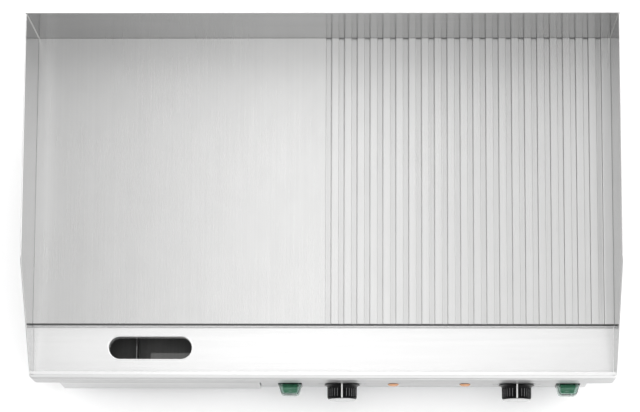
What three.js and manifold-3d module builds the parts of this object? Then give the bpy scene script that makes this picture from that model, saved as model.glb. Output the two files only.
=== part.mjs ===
// Tabletop electric griddle: a half smooth, half grooved cooking plate with splash guards on three
// sides, a sloped grease trough with a drain, a grease drawer, and a control panel on the front.
// Millimetres, +Z up. -Y is the front, +X is the operator's right.
// The origin is the middle of the footprint, on the surface that the feet stand on.
import * as THREE from 'three';
import { mergeVertices } from 'three/addons/utils/BufferGeometryUtils.js';
import Module from 'manifold-3d';

const wasm = await Module();
wasm.setup();

// ---- Driving dimensions ----------------------------------------------------------------------

const gap = 0.3; // clearance left between pieces that touch
const guardSheet = 1.5; // splash guards and trough
const bodySheet = 1.2; // body panels and drawer

// Cooking plate
const plateWidth = 730;
const plateDepth = 368;
const plateThickness = 10;
const grooveCount = 22;
const groovePitch = 16.34;
const grooveWidth = 7.2;
const grooveDepth = 3.4;
const firstGrooveRightEdge = 9.8;

// Splash guards and trough
const guardHeight = 130;
const guardSlopeStart = -305;
const guardCornerRadius = 12;
const skirtBottom = -24;
const lipHeight = 17;
const lipDepth = 10;
const frontFace = -440;
const troughWallGap = 1.6;
const troughRearDepth = 13;
const troughFrontDepth = 22.5;
const frontCornerRadius = 6;
const drainCentreX = -218;
const drainCentreY = -396.5;
const drainLength = 104;
const drainWidth = 27;
const collarBottom = -33;

// Body
const bodyHalfWidth = 333;
const bodyRear = -32;
const bodyBottom = -87;
const panelFace = -437.5;
const panelTop = -12;
const panelLeft = -79.5;
const ventSlot = { width: 5, height: 34, pitch: 12 };
const floorSlots = { count: 8, firstX: 50, pitch: 26, y: -230, length: 90 };

// Controls, all on one horizontal line
const controlHeight = -55;
const knobX = { left: 23.5, right: 244.5 };
const switchX = { left: -42.3, right: 309 };
const lampX = { left: 88.4, right: 179.2 };
const knobSkirtRadius = 22.5;
const knobBodyRadius = 18.7;
const knobFront = -457;
const knobFlutes = 24;
const fluteDepth = 0.7;
const capFront = -459.5;
const shaftRadius = 3;
const rockerTilt = THREE.MathUtils.degToRad(12);
const rockerSize = { width: 18.6, height: 26 };
const coverFront = -452;

// Grease drawer
const drawerCentreX = -205.5;
const drawerCavityHalf = 126.3;
const drawerFrontTop = -24.7;
const drawerFrontLeft = -332.7;
const drawerFrontRight = -80.5;
const trayHalfWidth = 98;
const trayFront = -414;
const trayRear = -130;
const trayTop = -43.2;
const trayBottom = -82;
const rimHalfWidth = 122;
const baffleX = -238;
const fingerNotch = { left: -265, right: -145, rear: -416 };

// Feet
const footHeight = 28;
const footX = 315;
const footY = [-395, -75];
const footRadius = 17;
const studRadius = 4;

const plateTop = footHeight - bodyBottom;
const overallDepth = guardSheet - capFront;
const plateBack = overallDepth / 2 - guardSheet;

// ---- Materials -------------------------------------------------------------------------------

const finish = (color, roughness, metalness) => ({ color, roughness, metalness });
const finishes = {
  groundSteel: finish(0xd2d2d0, 0.34, 1),
  stainless: finish(0xdadada, 0.28, 1),
  panelSteel: finish(0xd6d6d6, 0.32, 1),
  galvanised: finish(0xa9adb0, 0.5, 1),
  mineralBoard: finish(0xd9cdb4, 0.95, 0),
  heaterSheath: finish(0x6a5d52, 0.55, 1),
  blackPlastic: finish(0x141414, 0.25, 0),
  satinCap: finish(0xe6e6e6, 0.3, 1),
  greenPlastic: finish(0x1d7a4c, 0.3, 0),
  clearCover: finish(0xe8f4ee, 0.1, 0),
  orangeLens: finish(0xf09a4a, 0.2, 0),
  ceramic: finish(0xefe9dc, 0.6, 0),
  brass: finish(0xb59a52, 0.35, 1),
  rubber: finish(0x202020, 0.8, 0),
  zincSteel: finish(0xb9bcc0, 0.4, 1),
};

// ---- Geometry helpers ------------------------------------------------------------------------

const alongX = new THREE.Matrix4().makeBasis(
  new THREE.Vector3(0, 1, 0), new THREE.Vector3(0, 0, 1), new THREE.Vector3(1, 0, 0));
const alongY = new THREE.Matrix4().makeBasis(
  new THREE.Vector3(1, 0, 0), new THREE.Vector3(0, 0, 1), new THREE.Vector3(0, -1, 0));

// Turns a three.js geometry into a solid with shared corners and faces that point outwards.
function solid(geometry) {
  geometry.deleteAttribute('normal');
  geometry.deleteAttribute('uv');
  const merged = mergeVertices(geometry, 1e-4);
  const source = merged.index.array;
  const position = merged.attributes.position;
  const corner = [new THREE.Vector3(), new THREE.Vector3(), new THREE.Vector3()];
  const kept = [];
  let volume = 0;
  for (let i = 0; i < source.length; i += 3) {
    const [a, b, c] = [source[i], source[i + 1], source[i + 2]];
    if (a === b || b === c || c === a) continue;
    kept.push(a, b, c);
    corner[0].fromBufferAttribute(position, a);
    corner[1].fromBufferAttribute(position, b);
    corner[2].fromBufferAttribute(position, c);
    volume += corner[0].dot(corner[1].cross(corner[2]));
  }
  if (volume < 0) kept.reverse();
  const triVerts = new Uint32Array(kept);
  const vertProperties = new Float32Array(position.array);
  return new wasm.Manifold(new wasm.Mesh({ numProp: 3, vertProperties, triVerts }));
}

function geometryOf(manifold) {
  const mesh = manifold.getMesh();
  const geometry = new THREE.BufferGeometry();
  geometry.setAttribute('position', new THREE.BufferAttribute(mesh.vertProperties, 3));
  geometry.setIndex(new THREE.BufferAttribute(mesh.triVerts, 1));
  return geometry;
}

const box = ([x0, x1], [y0, y1], [z0, z1]) => solid(
  new THREE.BoxGeometry(x1 - x0, y1 - y0, z1 - z0)
    .translate((x0 + x1) / 2, (y0 + y1) / 2, (z0 + z1) / 2));

const extrude = (shape, depth, curveSegments) => new THREE.ExtrudeGeometry(
  shape, { depth, curveSegments, bevelEnabled: false });

// A YZ outline swept along X, an XZ outline swept along Y, and an XY outline swept along Z.
const sweepX = (shape, [x0, x1], curveSegments = 3) => solid(
  extrude(shape, x1 - x0, curveSegments).applyMatrix4(alongX).translate(x0, 0, 0));
const sweepY = (shape, [y0, y1], curveSegments = 3) => solid(
  extrude(shape, y1 - y0, curveSegments).applyMatrix4(alongY).translate(0, y1, 0));
const sweepZ = (shape, [z0, z1], curveSegments = 3) => solid(
  extrude(shape, z1 - z0, curveSegments).translate(0, 0, z0));

const outline = (points) => new THREE.Shape(points.map(([u, v]) => new THREE.Vector2(u, v)));

// A rectangle with round corners, centred on (cu, cv).
function roundedRectangle(cu, cv, width, height, radius) {
  const shape = new THREE.Shape();
  const [u, v] = [width / 2, height / 2];
  shape.absarc(cu + u - radius, cv + v - radius, radius, 0, Math.PI / 2);
  shape.absarc(cu - u + radius, cv + v - radius, radius, Math.PI / 2, Math.PI);
  shape.absarc(cu - u + radius, cv - v + radius, radius, Math.PI, 1.5 * Math.PI);
  shape.absarc(cu + u - radius, cv - v + radius, radius, 1.5 * Math.PI, 2 * Math.PI);
  return shape;
}

// A sheet folded along a path: the path is one face, and the other lies a thickness to its left.
function foldedSheet(path, thickness) {
  const points = path.map(([u, v]) => new THREE.Vector2(u, v));
  const last = points.length - 1;
  const leftOf = (from, to) => {
    const step = to.clone().sub(from).normalize();
    return new THREE.Vector2(-step.y, step.x);
  };
  const inner = points.map((point, i) => {
    const before = leftOf(points[Math.max(i - 1, 0)], points[Math.max(i, 1)]);
    const after = leftOf(points[Math.min(i, last - 1)], points[Math.min(i + 1, last)]);
    const mitre = before.clone().add(after).normalize();
    return point.clone().addScaledVector(mitre, thickness / mitre.dot(after));
  });
  return new THREE.Shape([...points, ...inner.reverse()]);
}

// A turned piece: the profile is [radius, distance in front of the panel] pairs on a front-back axis.
function turnedFront(profile, x, z, y, segments) {
  const points = profile.map(([radius, forward]) => new THREE.Vector2(radius, -forward));
  return solid(new THREE.LatheGeometry(points, segments).translate(x, y, z));
}

// A turned piece on a vertical axis: the profile is [radius, height] pairs.
function turnedUp(profile, x, y, segments) {
  const points = profile.map(([radius, height]) => new THREE.Vector2(radius, height));
  return solid(new THREE.LatheGeometry(points, segments).rotateX(Math.PI / 2).translate(x, y, 0));
}

const pinY = (radius, x, z, [y0, y1], segments = 16) => solid(
  new THREE.CylinderGeometry(radius, radius, y1 - y0, segments).translate(x, (y0 + y1) / 2, z));
const pinZ = (radius, x, y, [z0, z1], segments = 16) => solid(
  new THREE.CylinderGeometry(radius, radius, z1 - z0, segments)
    .rotateX(Math.PI / 2).translate(x, y, (z0 + z1) / 2));

// A round bar along a curve, with a many-sided section.
function roundBar(curve, radius, sides, steps) {
  const section = new THREE.Shape(new THREE.EllipseCurve(0, 0, radius, radius).getPoints(sides).slice(0, -1));
  return solid(new THREE.ExtrudeGeometry(section, { steps, extrudePath: curve, bevelEnabled: false }));
}

const mirrorX = (manifold) => manifold.mirror([1, 0, 0]);

// ---- Assembly --------------------------------------------------------------------------------

const griddle = new THREE.Group();
griddle.position.set(0, plateBack, plateTop);

function add(name, manifold, finishName) {
  const mesh = new THREE.Mesh(geometryOf(manifold), new THREE.MeshStandardMaterial(finishes[finishName]));
  mesh.name = name;
  griddle.add(mesh);
  return mesh;
}

const sides = ['left', 'right'];
const halfPlate = plateWidth / 2;
const guardOuter = halfPlate + guardSheet;

// ---- Cooking plate: the grooves run from the rear edge to the front edge -----------------------

function plateSection() {
  const half = halfPlate - gap;
  const points = [[-half, 0], [-half, -plateThickness], [half, -plateThickness], [half, 0]];
  const arcSteps = 5;
  for (let i = grooveCount - 1; i >= 0; i -= 1) {
    const right = firstGrooveRightEdge + i * groovePitch;
    for (let k = 0; k <= arcSteps; k += 1) {
      const turn = (Math.PI * k) / arcSteps;
      const across = (grooveWidth / 2) * (1 - Math.cos(turn));
      points.push([right - across, -grooveDepth * Math.sin(turn) ** 0.6]);
    }
  }
  return outline(points);
}
add('griddle_plate', sweepY(plateSection(), [-plateDepth, -gap]), 'groundSteel');

// ---- Splash guards -----------------------------------------------------------------------------

const lipRear = frontFace + lipDepth;
const guardFront = frontFace + frontCornerRadius;

function sideGuardOutline() {
  const slopeEnd = new THREE.Vector2(lipRear, lipHeight);
  const slopeTop = new THREE.Vector2(guardSlopeStart, guardHeight);
  const down = slopeEnd.clone().sub(slopeTop).normalize();
  const shape = new THREE.Shape();
  shape.moveTo(-gap, skirtBottom);
  shape.lineTo(-gap, guardHeight);
  shape.lineTo(guardSlopeStart + guardCornerRadius, guardHeight);
  const eased = slopeTop.clone().addScaledVector(down, guardCornerRadius);
  shape.quadraticCurveTo(slopeTop.x, slopeTop.y, eased.x, eased.y);
  shape.lineTo(slopeEnd.x, slopeEnd.y);
  shape.lineTo(guardFront + gap, lipHeight);
  shape.lineTo(guardFront + gap, skirtBottom);
  return shape;
}
add('splash_back', box([-guardOuter, guardOuter], [0, guardSheet], [skirtBottom, guardHeight]), 'stainless');
const rightGuard = sweepX(sideGuardOutline(), [halfPlate, guardOuter]);
add('splash_left', mirrorX(rightGuard), 'stainless');
add('splash_right', rightGuard, 'stainless');

// ---- Grease trough: one folded sheet with the lip, the front flange and the drain collar -------

const troughRear = -plateDepth - troughWallGap - guardSheet;
const troughPath = [
  [troughRear + guardSheet, -2],
  [troughRear + guardSheet, -troughRearDepth - guardSheet],
  [lipRear - guardSheet, -troughFrontDepth - guardSheet],
  [lipRear - guardSheet, lipHeight - guardSheet],
  [frontFace + guardSheet, lipHeight - guardSheet],
  [frontFace + guardSheet, skirtBottom],
];

// The rim that the lip and the flange make round the two front corners.
function frontRim() {
  const rimDepth = lipDepth * 2;
  const plan = (inset, depthInset) => {
    const width = 2 * (guardOuter - inset);
    return roundedRectangle(0, frontFace + rimDepth + depthInset, width, 2 * rimDepth, frontCornerRadius - inset);
  };
  const front = box([-guardOuter, guardOuter], [frontFace - 1, guardFront], [skirtBottom - 1, lipHeight + 1]);
  const skin = sweepZ(plan(0, 0), [skirtBottom, lipHeight]);
  const hollow = sweepZ(plan(guardSheet, guardSheet), [skirtBottom - 1, lipHeight - guardSheet]);
  return skin.subtract(hollow).intersect(front);
}

const obround = (cx, cy, length, width) => roundedRectangle(cx, cy, length, width, width / 2);
const drainPlan = obround(drainCentreX, drainCentreY, drainLength, drainWidth);
const collarPlan = obround(drainCentreX, drainCentreY, drainLength + 2 * guardSheet, drainWidth + 2 * guardSheet);
const drainFloorTop = -troughRearDepth
  - (troughFrontDepth - troughRearDepth) * ((troughRear - drainCentreY) / (troughRear - lipRear));
const collar = sweepZ(collarPlan, [collarBottom, drainFloorTop - 2 * guardSheet]);
const trough = sweepX(foldedSheet(troughPath, -guardSheet), [-halfPlate + gap, halfPlate - gap])
  .add(frontRim())
  .add(collar)
  .subtract(sweepZ(drainPlan, [collarBottom - 1, lipHeight]));
add('grease_trough', trough, 'stainless');

// ---- Body panels -------------------------------------------------------------------------------

const underPlate = -plateThickness - gap;
const panelFloor = bodyBottom + bodySheet + gap;
const panelFrontEdge = panelFace + bodySheet + gap;
const underTrough = -troughFrontDepth - guardSheet - 2;

// A row of upright slots; across is 'x' or 'y', the way the row runs.
function ventRow(across, centre, count, low, [from, to]) {
  let row;
  for (let i = 0; i < count; i += 1) {
    const at = centre + (i - (count - 1) / 2) * ventSlot.pitch;
    const slot = roundedRectangle(at, low + ventSlot.height / 2, ventSlot.width, ventSlot.height, 2.4);
    const cut = across === 'y' ? sweepX(slot, [from, to], 1) : sweepY(slot, [from, to], 1);
    row = row ? row.add(cut) : cut;
  }
  return row;
}

const sidePanelOutline = outline([
  [bodyRear, panelFloor],
  [bodyRear, underPlate],
  [-plateDepth, underPlate],
  [-plateDepth, -troughRearDepth - guardSheet - 2],
  [lipRear - 2, underTrough],
  [panelFrontEdge, underTrough],
  [panelFrontEdge, panelFloor],
]);
const panelSpan = [bodyHalfWidth - bodySheet, bodyHalfWidth];
const ventCut = [bodyHalfWidth - 3, bodyHalfWidth + 1];
const rightSidePanel = sweepX(sidePanelOutline, panelSpan)
  .subtract(ventRow('y', -120, 8, -62, ventCut));
add('side_panel_right', rightSidePanel, 'panelSteel');
add('side_panel_left', mirrorX(rightSidePanel), 'panelSteel');

const glandAt = { x: 250, z: -60 };
const earthAt = { x: 180, z: -64 };
const rearHalf = bodyHalfWidth - bodySheet - gap;
const rearPanel = box([-rearHalf, rearHalf], [bodyRear - bodySheet, bodyRear], [panelFloor, underPlate])
  .subtract(pinY(8.3, glandAt.x, glandAt.z, [bodyRear - 3, bodyRear + 1]))
  .subtract(pinY(3.4, earthAt.x, earthAt.z, [bodyRear - 3, bodyRear + 1]))
  .subtract(ventRow('x', 20, 10, -62, [bodyRear - 3, bodyRear + 1]));
add('rear_panel', rearPanel, 'panelSteel');

function basePan() {
  const span = [bodyBottom, bodyBottom + bodySheet];
  const cutSpan = [bodyBottom - 1, bodyBottom + bodySheet + 1];
  const notch = outline([
    [fingerNotch.left, panelFrontEdge - 5],
    [fingerNotch.right, panelFrontEdge - 5],
    [fingerNotch.right, fingerNotch.rear],
    [fingerNotch.left, fingerNotch.rear],
  ]);
  let pan = box([-bodyHalfWidth, bodyHalfWidth], [panelFrontEdge, bodyRear], span)
    .subtract(sweepZ(notch, cutSpan));
  for (const side of [-1, 1]) {
    for (const y of footY) pan = pan.subtract(pinZ(studRadius + gap, side * footX, y, cutSpan));
  }
  for (let i = 0; i < floorSlots.count; i += 1) {
    const x = floorSlots.firstX + i * floorSlots.pitch;
    pan = pan.subtract(sweepZ(roundedRectangle(x, floorSlots.y, 6, floorSlots.length, 2.9), cutSpan, 1));
  }
  return pan;
}
add('base_pan', basePan(), 'galvanised');

function controlPanel() {
  const cut = [panelFace - 1, panelFace + bodySheet + 1];
  let panel = box([panelLeft, bodyHalfWidth], [panelFace, panelFace + bodySheet], [bodyBottom, panelTop]);
  for (const side of sides) {
    const window = roundedRectangle(switchX[side], controlHeight, 22.2, 30.2, 1);
    panel = panel
      .subtract(pinY(5.5, knobX[side], controlHeight, cut))
      .subtract(pinY(5.4, lampX[side], controlHeight, cut))
      .subtract(sweepY(window, cut));
  }
  return panel;
}
add('control_panel', controlPanel(), 'panelSteel');

const shieldTop = -37;
const dividerX = drawerCentreX + drawerCavityHalf;
add('divider_wall', box(
  [dividerX, dividerX + bodySheet],
  [panelFrontEdge + gap, bodyRear - bodySheet - gap],
  [panelFloor, shieldTop - bodySheet - gap]), 'galvanised');

// ---- Heaters under the plate -------------------------------------------------------------------

const shieldHalf = bodyHalfWidth - bodySheet - 2 * gap;
const bayFront = -352;
const bayRear = -40;
const shieldPath = [
  [-shieldHalf, shieldTop - 6], [-shieldHalf, shieldTop], [shieldHalf, shieldTop], [shieldHalf, shieldTop - 6],
];
add('heat_shield', sweepY(foldedSheet(shieldPath, -bodySheet), [bayFront, bayRear]), 'galvanised');
const boardSpan = [shieldTop + gap, shieldTop + 13];
add('insulation_board', box([-325, 325], [bayFront + 2, bayRear], boardSpan), 'mineralBoard');

const legPitch = 52;
const legCount = 6;
const heaterRadius = 4;
const heaterHeight = underPlate - heaterRadius;
const heaterFront = -326;
const heaterRear = -60;

// Straight legs along Y joined by half circles, the first and last leg drawn out to the front.
class HeaterPath extends THREE.Curve {
  constructor(centreX) {
    super();
    this.centreX = centreX;
    this.bend = legPitch / 2;
    this.leg = heaterRear - heaterFront - 2 * this.bend;
    this.arc = Math.PI * this.bend;
    this.tail = this.bend + 22;
    this.total = legCount * this.leg + (legCount - 1) * this.arc + 2 * this.tail;
  }

  getPoint(t, target = new THREE.Vector3()) {
    let along = t * this.total - this.tail;
    const low = heaterFront + this.bend;
    const first = this.centreX - ((legCount - 1) / 2) * legPitch;
    for (let i = 0; i < legCount; i += 1) {
      const up = i % 2 === 0 ? 1 : -1;
      const start = up > 0 ? low : low + this.leg;
      if (along <= this.leg || i === legCount - 1) {
        return target.set(first + i * legPitch, start + up * along, heaterHeight);
      }
      along -= this.leg;
      if (along < this.arc) {
        const turn = (Math.PI * along) / this.arc;
        const x = first + i * legPitch + this.bend * (1 - Math.cos(turn));
        return target.set(x, start + up * (this.leg + this.bend * Math.sin(turn)), heaterHeight);
      }
      along -= this.arc;
    }
    return target;
  }
}

const zoneX = { left: -182, right: 182 };
const clampTop = heaterHeight - heaterRadius - gap;
for (const side of sides) {
  add(`heating_element_${side}`, roundBar(new HeaterPath(zoneX[side]), heaterRadius, 6, 84), 'heaterSheath');
  for (const [place, y] of [['front', -260], ['rear', -120]]) {
    const half = (legPitch * legCount) / 2 - 10;
    let clamp = box([zoneX[side] - half, zoneX[side] + half], [y - 9, y + 9], [clampTop - 3, clampTop]);
    for (const bolt of [-legPitch, legPitch]) {
      clamp = clamp.add(pinZ(3, zoneX[side] + bolt, y, [clampTop - 4, underPlate], 12));
    }
    add(`heater_clamp_${side}_${place}`, clamp, 'zincSteel');
  }
}

// ---- Thermostats, knobs, switches and lamps ------------------------------------------------------

const panelBack = panelFace + bodySheet;
const thermostatRear = -400;
const probeX = { left: -70, right: 286 };

function thermostatBody(x) {
  const can = box([x - 20, x + 20], [panelBack + 6, thermostatRear], [controlHeight - 19, controlHeight + 19]);
  const nose = pinY(9, x, controlHeight, [panelBack + gap, panelBack + 7]);
  const seat = pinY(shaftRadius + gap, x, controlHeight, [panelBack, panelBack + 20]);
  return can.add(nose).subtract(seat);
}

// The sensing bulb lies between two heater legs, and its capillary drops behind the trough.
function thermostatProbe(bulbX, x) {
  const bulbHeight = underPlate - 3.2;
  const route = new THREE.CatmullRomCurve3([
    new THREE.Vector3(bulbX, -296, bulbHeight),
    new THREE.Vector3(bulbX, -350, bulbHeight - 1),
    new THREE.Vector3(bulbX + (x - bulbX) * 0.1, -362, bulbHeight - 16),
    new THREE.Vector3(bulbX + (x - bulbX) * 0.5, -374, controlHeight + 6),
    new THREE.Vector3(x, thermostatRear + 10, controlHeight),
    new THREE.Vector3(x, thermostatRear + 2 * gap, controlHeight),
  ]);
  return roundBar(route, 1.1, 6, 26).add(pinY(3, bulbX, bulbHeight, [-300, -180], 12));
}

// The grip's outline, with rounded ribs and narrow flutes between them.
function knobOutline() {
  const perFlute = 4;
  const points = [];
  for (let i = 0; i < knobFlutes * perFlute; i += 1) {
    const turn = (2 * Math.PI * i) / (knobFlutes * perFlute);
    const radius = knobBodyRadius - (i % perFlute === 0 ? fluteDepth : 0);
    points.push([radius * Math.cos(turn), radius * Math.sin(turn)]);
  }
  return outline(points);
}

function knob(x) {
  const skirtRear = panelFace - 0.8;
  const skirt = turnedFront(
    [[0, 0], [knobSkirtRadius, 0], [knobSkirtRadius, 1.2], [knobBodyRadius, 3], [0, 3]],
    x, controlHeight, skirtRear, 36);
  const grip = sweepY(knobOutline(), [knobFront, skirtRear - 1]).translate([x, 0, controlHeight]);
  const bore = pinY(shaftRadius + gap, x, controlHeight, [knobFront + 3, skirtRear + 1]);
  return skirt.add(grip).subtract(bore);
}

for (const side of sides) {
  const x = knobX[side];
  add(`thermostat_body_${side}`, thermostatBody(x), 'ceramic');
  add(`thermostat_probe_${side}`, thermostatProbe(probeX[side], x), 'brass');
  add(`thermostat_shaft_${side}`, pinY(shaftRadius, x, controlHeight, [knobFront + 3 + gap, panelBack + 18]),
    'zincSteel');
  add(`knob_${side}`, knob(x), 'blackPlastic');
  const capProfile = [[0, gap], [17.9, gap], [17.9, 1], [15, 1.8], [8, 2.3], [0, knobFront - capFront]];
  add(`knob_cap_${side}`, turnedFront(capProfile, x, controlHeight, knobFront, 32), 'satinCap');
}

const rockerPivot = panelFace + 0.5;

function switchHousing(x) {
  const frame = sweepY(roundedRectangle(x, controlHeight, 30, 36, 2.5), [panelFace - 2.3, panelFace - gap]);
  const block = box([x - 10.8, x + 10.8], [panelFace - 1, panelBack + 24], [controlHeight - 14.8, controlHeight + 14.8]);
  const pocket = box([x - 9.7, x + 9.7], [panelFace - 4, panelBack + 7], [controlHeight - 14.2, controlHeight + 14.2]);
  let housing = frame.add(block).subtract(pocket);
  for (const row of [-1, 1]) {
    for (const column of [-1, 1]) {
      const tabX = x + column * 5;
      const tabZ = controlHeight + row * 9;
      const tabY = panelBack + 23;
      housing = housing.add(box([tabX - 0.4, tabX + 0.4], [tabY, tabY + 9], [tabZ - 3, tabZ + 3]));
    }
  }
  return housing;
}

// The rocker's side outline about its pivot: [distance behind the pivot, height].
function rockerOutline() {
  const half = rockerSize.height / 2;
  const shape = new THREE.Shape();
  shape.moveTo(3, -half * 0.5);
  shape.lineTo(-1, -half);
  shape.lineTo(-9, -half);
  shape.quadraticCurveTo(-9.9, -half, -9.8, -half + 1);
  shape.quadraticCurveTo(-8, -half * 0.4, -8, 0);
  shape.quadraticCurveTo(-8, half * 0.4, -9.8, half - 1);
  shape.quadraticCurveTo(-9.9, half, -9, half);
  shape.lineTo(-1, half);
  shape.lineTo(3, half * 0.5);
  return shape;
}

// Scales an extruded outline down towards its front end.
function taperedBlock(x, width, height, radius, [yFront, yBack], narrowing) {
  const geometry = extrude(roundedRectangle(0, 0, width, height, radius), yBack - yFront, 2);
  const position = geometry.attributes.position;
  for (let i = 0; i < position.count; i += 1) {
    const share = position.getZ(i) / (yBack - yFront);
    position.setX(i, position.getX(i) * (1 - (share * narrowing) / width));
    position.setY(i, position.getY(i) * (1 - (share * narrowing) / height));
  }
  return solid(geometry.applyMatrix4(alongY).translate(x, yBack, controlHeight));
}

function switchCover(x) {
  const rear = panelFace - 2.3 - gap;
  const wall = 1.1;
  const outside = taperedBlock(x, 29, 35, 5, [coverFront, rear], 5);
  const inside = taperedBlock(x, 29 - 2 * wall, 35 - 2 * wall, 4, [coverFront + wall, rear + 0.5], 5);
  return outside.subtract(inside);
}

for (const side of sides) {
  add(`switch_housing_${side}`, switchHousing(switchX[side]), 'blackPlastic');
  const halfWidth = rockerSize.width / 2;
  const rocker = add(`switch_rocker_${side}`, sweepX(rockerOutline(), [-halfWidth, halfWidth]), 'greenPlastic');
  rocker.position.set(switchX[side], rockerPivot, controlHeight);
  rocker.rotation.x = -rockerTilt;
  add(`switch_cover_${side}`, switchCover(switchX[side]), 'clearCover');

  const lampBody = turnedFront(
    [[0, -26], [4.6, -26], [5, -20], [5, -gap], [0, -gap]], lampX[side], controlHeight, panelFace, 16);
  add(`lamp_body_${side}`, lampBody, 'blackPlastic');
  const lensProfile = [[0, gap], [7, gap], [7, 1.2], [6, 2], [5.2, 3.4], [3, 4.3], [0, 4.6]];
  add(`lamp_lens_${side}`, turnedFront(lensProfile, lampX[side], controlHeight, panelFace, 24), 'orangeLens');
}

// ---- Grease drawer -------------------------------------------------------------------------------

function drawerTray() {
  const length = trayRear - trayFront;
  const centreY = (trayRear + trayFront) / 2;
  const width = 2 * trayHalfWidth;
  const outside = sweepZ(roundedRectangle(drawerCentreX, centreY, width, length, 8), [trayBottom, trayTop]);
  const inside = sweepZ(
    roundedRectangle(drawerCentreX, centreY, width - 2 * bodySheet, length - 2 * bodySheet, 7),
    [trayBottom + bodySheet, trayTop + 1]);
  let tray = outside;
  for (const side of [-1, 1]) {
    const edges = [drawerCentreX + side * (trayHalfWidth - 4), drawerCentreX + side * rimHalfWidth];
    edges.sort((a, b) => a - b);
    tray = tray.add(box(edges, [frontFace + bodySheet + gap, trayRear], [trayTop - 1, trayTop]));
  }
  return tray.subtract(inside);
}
add('drawer_tray', drawerTray(), 'panelSteel');
add('drawer_baffle', box(
  [baffleX - 0.6, baffleX + 0.6],
  [trayFront + bodySheet + gap, trayRear - bodySheet - gap],
  [trayBottom + bodySheet + gap, trayTop - 8]), 'panelSteel');

function drawerFront() {
  const rear = panelFrontEdge - gap - 0.2;
  const skin = frontFace + bodySheet;
  const plate = box([drawerFrontLeft, drawerFrontRight], [frontFace, rear], [bodyBottom + gap, drawerFrontTop]);
  const pocket = box(
    [drawerFrontLeft + bodySheet, drawerFrontRight - bodySheet],
    [skin, rear + 1],
    [bodyBottom + gap + bodySheet, drawerFrontTop - bodySheet]);
  const notch = box([fingerNotch.left, fingerNotch.right], [skin, rear + 1], [bodyBottom - 1, bodyBottom + 4]);
  return plate.subtract(pocket).subtract(notch);
}
add('drawer_front', drawerFront(), 'panelSteel');

const railTop = trayTop - 1 - gap;
const railOuter = drawerCavityHalf - gap;
const railInner = trayHalfWidth + 8;
const railPath = [
  [railOuter, railTop - 14], [railOuter, railTop], [railInner, railTop],
];
const railProfile = (side) => {
  const path = railPath.map(([u, v]) => [drawerCentreX + side * u, v]);
  return foldedSheet(path, side > 0 ? bodySheet : -bodySheet);
};
add('drawer_rail_left', sweepY(railProfile(-1), [-428, -60]), 'galvanised');
add('drawer_rail_right', sweepY(railProfile(1), [-428, -60]), 'galvanised');

// ---- Electrical inlet and terminals --------------------------------------------------------------

function cableGland() {
  const { x, z } = glandAt;
  const bore = pinY(5.5, x, z, [bodyRear - 20, bodyRear + 30], 16);
  const flange = pinY(12, x, z, [bodyRear + gap, bodyRear + 6], 6);
  const thread = pinY(8, x, z, [bodyRear - 12, bodyRear + 8]);
  const dome = turnedFront([[0, 0], [11, 0], [10.5, -9], [7.5, -17], [0, -17]], x, z, bodyRear + 5, 20);
  return flange.add(thread).add(dome).subtract(bore);
}
add('cable_gland', cableGland(), 'blackPlastic');
const locknutSpan = [bodyRear - bodySheet - 5, bodyRear - bodySheet - gap];
add('gland_locknut', pinY(12, glandAt.x, glandAt.z, locknutSpan, 6)
  .subtract(pinY(8 + gap, glandAt.x, glandAt.z, [bodyRear - 20, bodyRear])), 'blackPlastic');

const earthStud = pinY(3, earthAt.x, earthAt.z, [bodyRear - 10, bodyRear + 18])
  .add(pinY(6, earthAt.x, earthAt.z, [bodyRear + gap, bodyRear + 5], 6))
  .add(pinY(5.5, earthAt.x, earthAt.z, [bodyRear + 9, bodyRear + 13], 6));
add('earth_stud', earthStud, 'brass');

function terminalBlock() {
  const centreX = 215;
  let block = box([centreX - 32, centreX + 32], [-100, -76], [panelFloor, panelFloor + 18]);
  for (let i = 0; i < 5; i += 1) {
    const x = centreX + (i - 2) * 12;
    block = block
      .subtract(pinZ(3, x, -93, [panelFloor + 14, panelFloor + 20], 12))
      .subtract(pinZ(3, x, -83, [panelFloor + 14, panelFloor + 20], 12));
  }
  return block;
}
add('terminal_block', terminalBlock(), 'ceramic');

const cutout = pinY(11, 110, -66, [-90, -60], 24).add(box([92, 128], [-62, -60], [-78, -54]));
add('safety_cutout', cutout, 'ceramic');

// ---- Feet: a stud that screws into a nut on the base pan ------------------------------------------

const footSole = bodyBottom - footHeight;
const footProfile = [
  [0, footSole], [footRadius - 1.5, footSole], [footRadius, footSole + 1.5], [footRadius, footSole + 8],
  [footRadius - 4, footSole + 18], [footRadius - 5, bodyBottom - gap], [studRadius, bodyBottom - gap],
  [studRadius, bodyBottom + 22], [0, bodyBottom + 22],
];
const nutSpan = [panelFloor, panelFloor + 7];
sides.forEach((side, i) => {
  const x = (2 * i - 1) * footX;
  ['front', 'rear'].forEach((place, j) => {
    add(`foot_${place}_${side}`, turnedUp(footProfile, x, footY[j], 20), 'rubber');
    const nut = pinZ(7.5, x, footY[j], nutSpan, 6)
      .subtract(pinZ(studRadius + gap, x, footY[j], [nutSpan[0] - 1, nutSpan[1] + 1]));
    add(`foot_nut_${place}_${side}`, nut, 'zincSteel');
  });
});

const part = new THREE.Group();
part.add(griddle);

export default part;
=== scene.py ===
"""Looks of the countertop griddle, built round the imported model. Metres, +Z up, -Y front.

Shapes are worked out in millimetres in the model's own frame, and scaled to metres as they are made.
"""
import math

import bmesh
import bpy
from mathutils import Matrix, Vector


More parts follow.
